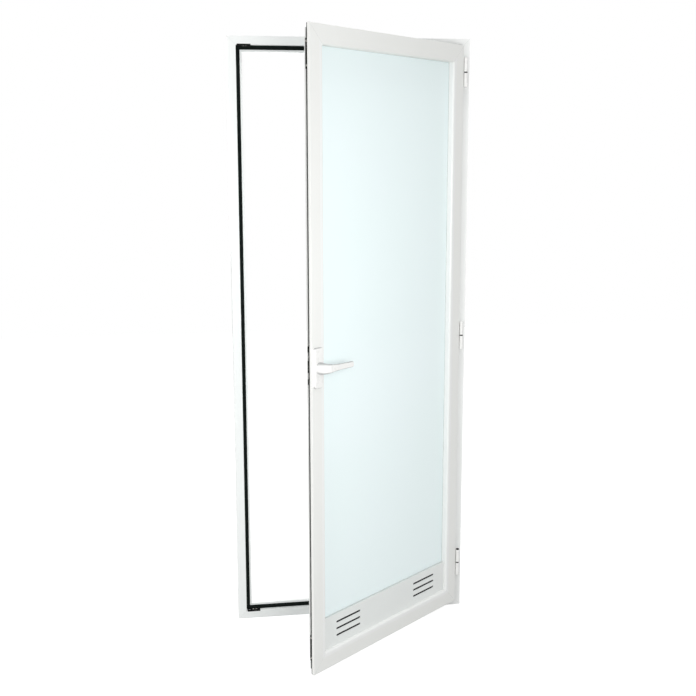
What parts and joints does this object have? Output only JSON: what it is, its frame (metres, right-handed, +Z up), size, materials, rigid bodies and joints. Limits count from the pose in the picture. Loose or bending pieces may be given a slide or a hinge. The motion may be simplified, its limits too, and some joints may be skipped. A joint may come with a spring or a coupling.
{
  "type": "aluminium balcony door",
  "caption": "Glazed inward-opening aluminium balcony door in its frame, with a vented bottom panel, lever handle, espagnolette rods and hinges; it stands ajar.",
  "frame": {"origin": "middle of the sill's underside, at mid-width and mid-depth of the fixed frame", "axes": "+Z up, +X along the width towards the hinges, +Y from the room to the balcony"},
  "size_m": [0.85, 0.5933, 2.1],
  "materials": {
    "white_coat": "satin white powder coat on aluminium",
    "fitting_coat": "smooth white lacquer on cast metal",
    "black_rubber": "matt rubber",
    "grey_rubber": "pale grey rubber",
    "black_nylon": "moulded black nylon",
    "clear_glass": "clear float glass",
    "spacer_metal": "mill finish",
    "pin_steel": "ground steel",
    "rod_metal": "black coated metal"
  },
  "bodies": {
    "frame": {"frame_head": "white_coat", "frame_sill": "white_coat", "frame_lock_jamb": "white_coat", "frame_hinge_jamb": "white_coat", "gasket_head": "black_rubber", "gasket_sill": "black_rubber", "gasket_lock_jamb": "black_rubber", "gasket_hinge_jamb": "black_rubber", "head_keeper": "black_nylon", "sill_keeper": "black_nylon", "hinge_top_frame_half": "fitting_coat", "hinge_top_pin": "pin_steel", "hinge_top_washer": "black_nylon", "hinge_middle_frame_half": "fitting_coat", "hinge_middle_pin": "pin_steel", "hinge_middle_washer": "black_nylon", "hinge_bottom_frame_half": "fitting_coat", "hinge_bottom_pin": "pin_steel", "hinge_bottom_washer": "black_nylon"},
    "sash": {"sash_top_rail": "white_coat", "sash_bottom_rail": "white_coat", "sash_lock_stile": "white_coat", "sash_hinge_stile": "white_coat", "bead_top": "white_coat", "bead_bottom": "white_coat", "bead_lock_side": "white_coat", "bead_hinge_side": "white_coat", "inner_pane": "clear_glass", "outer_pane": "clear_glass", "glass_spacer": "spacer_metal", "glazing_seal_front": "grey_rubber", "glazing_seal_back": "grey_rubber", "vent_panel": "white_coat", "vent_screen": "black_nylon", "overlap_seal": "black_rubber", "handle_plate": "fitting_coat", "gearbox": "black_nylon", "top_rod_guide": "black_nylon", "bottom_rod_guide": "black_nylon", "hinge_top_sash_half": "fitting_coat", "hinge_middle_sash_half": "fitting_coat", "hinge_bottom_sash_half": "fitting_coat", "hinge_bottom_cap": "black_nylon"},
    "lever": {"lever_handle": "fitting_coat"},
    "top_rod": {"top_rod": "rod_metal"},
    "bottom_rod": {"bottom_rod": "rod_metal"}
  },
  "joints": [
    {"name": "sash_swing", "type": "hinge", "parent": "frame", "child": "sash", "pos_m": [0.4075, -0.038, 1.053], "axis": [0, 0, 1], "range_deg": [-40, 130]},
    {"name": "lever_turn", "type": "hinge", "parent": "sash", "child": "lever", "pos_m": [-0.18858, -0.54731, 1.044], "axis": [-0.6428, 0.766, 0], "range_deg": [0, 90]},
    {"name": "top_rod_slide", "type": "slide", "parent": "sash", "child": "top_rod", "axis": [0, 0, 1], "range_m": [0, 0.022]},
    {"name": "bottom_rod_slide", "type": "slide", "parent": "sash", "child": "bottom_rod", "axis": [0, 0, -1], "range_m": [0, 0.022]}
  ],
  "couplings": [
    {"joint": "top_rod_slide", "follows": "lever_turn", "m_per_rad": 0.014},
    {"joint": "bottom_rod_slide", "follows": "lever_turn", "m_per_rad": 0.014}
  ]
}
